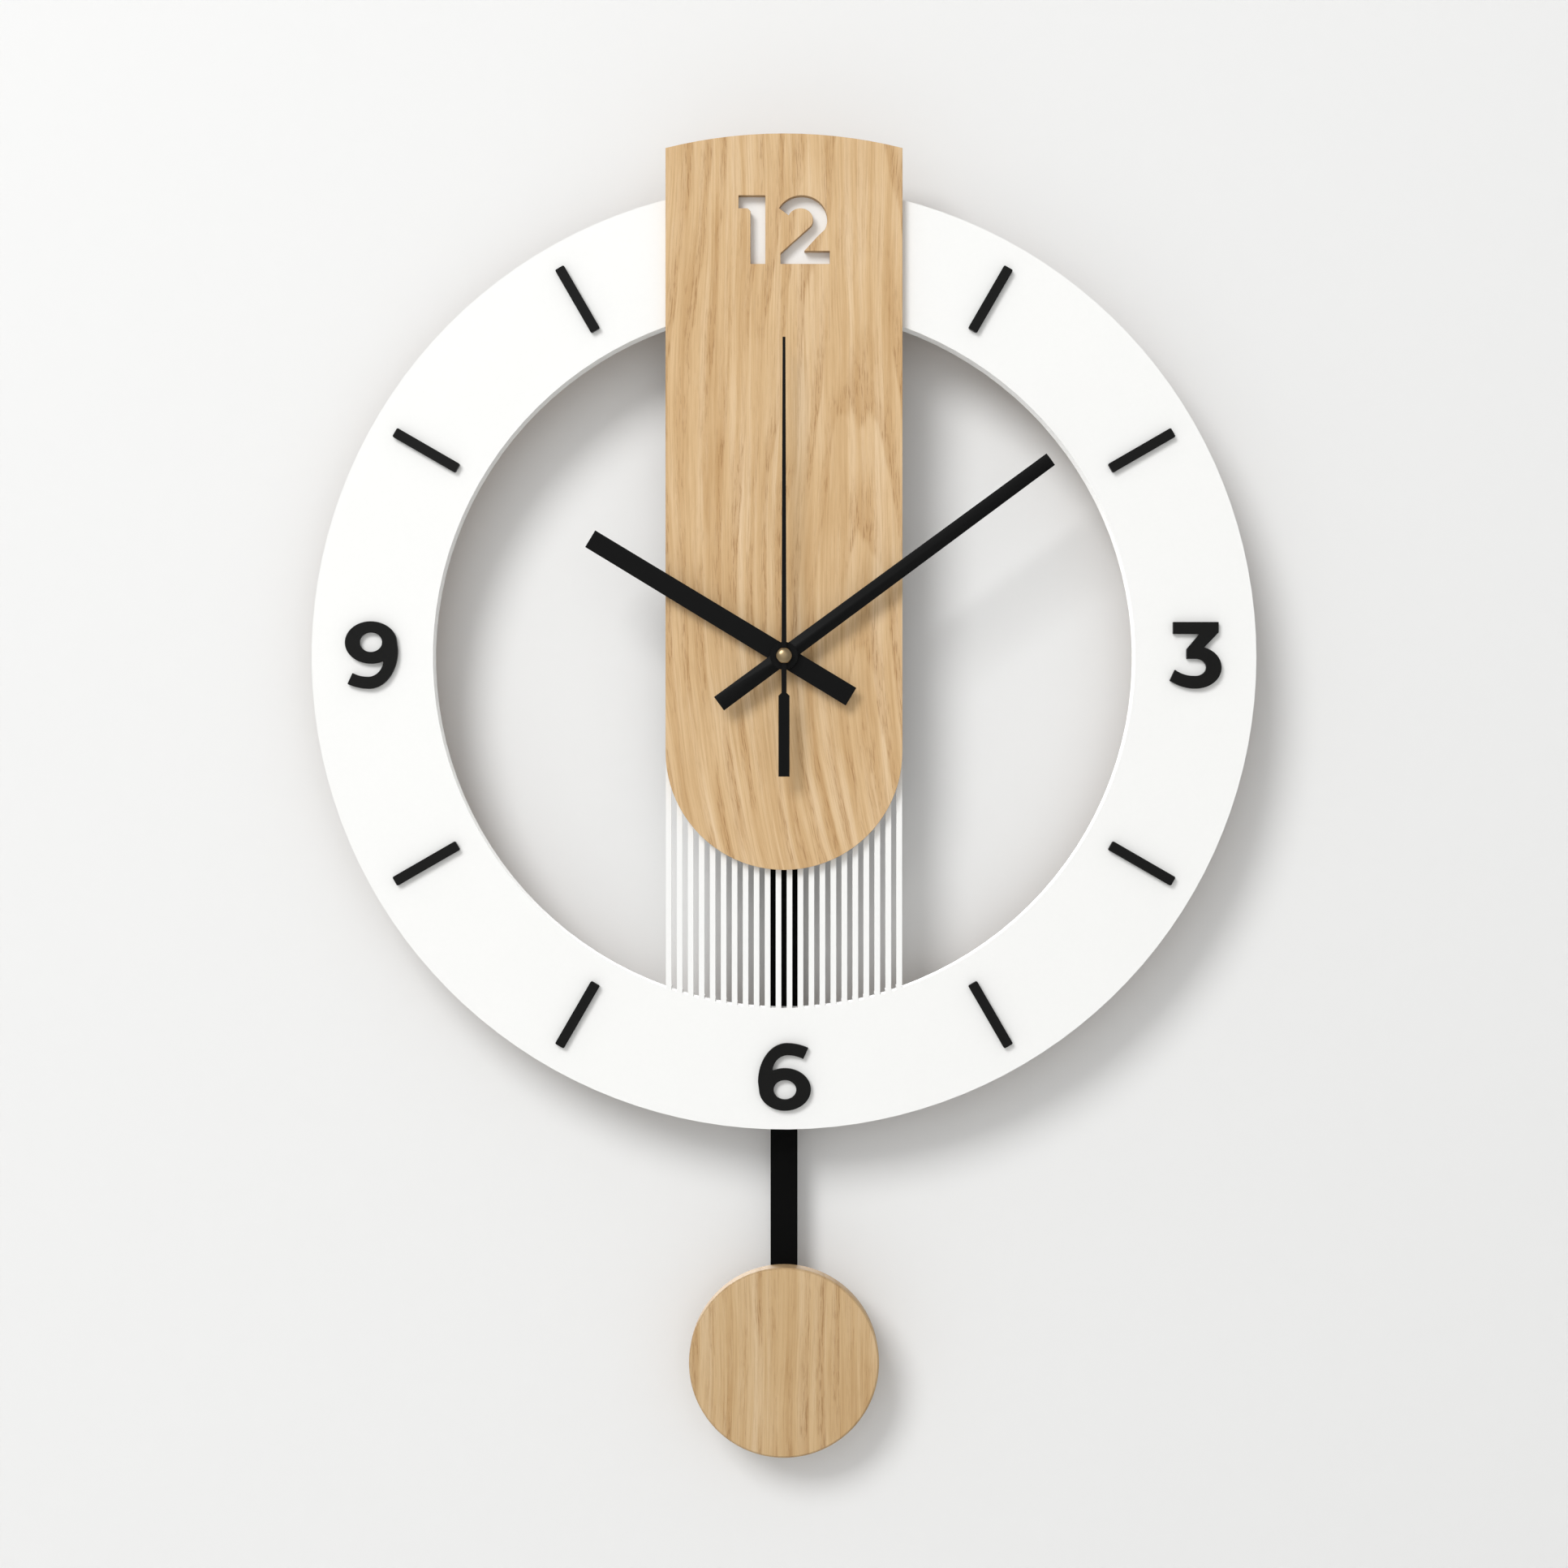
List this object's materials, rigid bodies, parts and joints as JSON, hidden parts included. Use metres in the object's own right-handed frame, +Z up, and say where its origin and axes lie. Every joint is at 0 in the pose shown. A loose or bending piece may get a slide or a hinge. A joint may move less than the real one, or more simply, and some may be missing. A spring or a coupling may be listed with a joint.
{
  "type": "pendulum wall clock",
  "caption": "Open dial ring with an oak centre panel and slatted bridge, hands turned by a battery movement behind it, and an oak bob swinging on a flat rod.",
  "frame": {"origin": "where the hand axis meets the wall, on the flat back of the movement case", "axes": "+Z up, +Y into the wall, the dial faces -Y, +X to the right as the clock is read"},
  "size_m": [0.3, 0.0401, 0.4214],
  "materials": {
    "white_board": "smooth satin white lacquer on board",
    "oak": "oak veneer, matt clear lacquer, upright grain",
    "bob_oak": "turned oak, matt clear lacquer, upright grain",
    "black_mark": "satin black acrylic",
    "black_hand": "satin black paint on aluminium",
    "rod_black": "satin black paint on aluminium strip",
    "case_plastic": "fine-textured dark moulded plastic",
    "gear_plastic": "natural acetal",
    "brass": "polished brass",
    "steel": "bright zinc-plated steel",
    "battery_wrap": "printed film sleeve, plain",
    "circuit": "green solder mask on laminate",
    "chip_resin": "black potting resin",
    "copper": "enamelled copper winding",
    "magnet": "sintered magnet"
  },
  "bodies": {
    "clock": {"dial_board": "white_board", "centre_panel": "oak", "numeral_3": "black_mark", "numeral_6": "black_mark", "numeral_9": "black_mark", "hour_bars": "black_mark", "panel_screws": "steel", "rear_case": "case_plastic", "front_cover": "case_plastic", "threaded_bushing": "brass", "fixing_washer": "steel", "hex_nut": "brass", "case_screws": "steel", "battery": "battery_wrap", "contact_positive": "steel", "contact_negative": "steel", "clock_circuit": "circuit", "clock_chip": "chip_resin", "quartz_crystal": "steel", "motor_bobbin": "gear_plastic", "motor_winding": "copper", "stator": "steel", "train_bridge": "gear_plastic", "drive_circuit": "circuit", "drive_chip": "chip_resin", "drive_coil": "copper", "pivot_pin": "steel"},
    "minute": {"minute_tube": "brass", "minute_hand": "black_hand"},
    "hour": {"hour_wheel": "gear_plastic", "hour_hand": "black_hand"},
    "minute_wheel": {"minute_wheel": "gear_plastic"},
    "setting_knob": {"setting_knob": "case_plastic"},
    "second": {"second_wheel": "gear_plastic", "second_arbor": "steel", "second_hand": "black_hand", "hand_cap": "brass"},
    "rotor": {"rotor_magnet": "magnet", "rotor_pinion": "gear_plastic"},
    "fifth_wheel": {"fifth_wheel": "gear_plastic"},
    "third_wheel": {"third_wheel": "gear_plastic"},
    "centre_wheel": {"centre_wheel": "gear_plastic"},
    "pendulum": {"pendulum_lever": "gear_plastic", "drive_magnet": "magnet", "pendulum_rod": "rod_black", "bob": "bob_oak", "bob_screws": "steel"}
  },
  "joints": [
    {"name": "minute_turn", "type": "hinge", "parent": "clock", "child": "minute", "pos_m": [0, -0.02, 0], "axis": [0, 1, 0], "continuous": true},
    {"name": "hour_turn", "type": "hinge", "parent": "clock", "child": "hour", "pos_m": [0, -0.02, 0], "axis": [0, 1, 0], "continuous": true},
    {"name": "minute_wheel_turn", "type": "hinge", "parent": "clock", "child": "minute_wheel", "pos_m": [0.004, -0.0135, 0.00693], "axis": [0, 1, 0], "continuous": true},
    {"name": "setting_knob_turn", "type": "hinge", "parent": "clock", "child": "setting_knob", "pos_m": [0.00994, -0.002, 0.01287], "axis": [0, 1, 0], "continuous": true},
    {"name": "second_turn", "type": "hinge", "parent": "clock", "child": "second", "pos_m": [0, -0.02, 0], "axis": [0, 1, 0], "continuous": true},
    {"name": "third_wheel_turn", "type": "hinge", "parent": "clock", "child": "third_wheel", "pos_m": [-0.00865, -0.0107, 0.00865], "axis": [0, 1, 0], "continuous": true},
    {"name": "centre_wheel_turn", "type": "hinge", "parent": "clock", "child": "centre_wheel", "pos_m": [0, -0.0121, 0], "axis": [0, 1, 0], "continuous": true},
    {"name": "fifth_wheel_turn", "type": "hinge", "parent": "clock", "child": "fifth_wheel", "pos_m": [0.00748, -0.0071, -0.00432], "axis": [0, 1, 0], "continuous": true},
    {"name": "rotor_turn", "type": "hinge", "parent": "clock", "child": "rotor", "pos_m": [0.01575, -0.0052, -0.00286], "axis": [0, 1, 0], "continuous": true},
    {"name": "pendulum_swing", "type": "hinge", "parent": "clock", "child": "pendulum", "pos_m": [0, -0.0075, -0.038], "axis": [0, 1, 0], "range_deg": [-8, 8]}
  ],
  "couplings": [
    {"joint": "hour_turn", "follows": "minute_turn", "ratio": 0.083333},
    {"joint": "minute_wheel_turn", "follows": "minute_turn", "ratio": -0.33333},
    {"joint": "setting_knob_turn", "follows": "minute_turn", "ratio": 0.83333},
    {"joint": "third_wheel_turn", "follows": "second_turn", "ratio": -0.13333},
    {"joint": "centre_wheel_turn", "follows": "second_turn", "ratio": 0.016667},
    {"joint": "fifth_wheel_turn", "follows": "second_turn", "ratio": -5},
    {"joint": "rotor_turn", "follows": "second_turn", "ratio": 30}
  ]
}
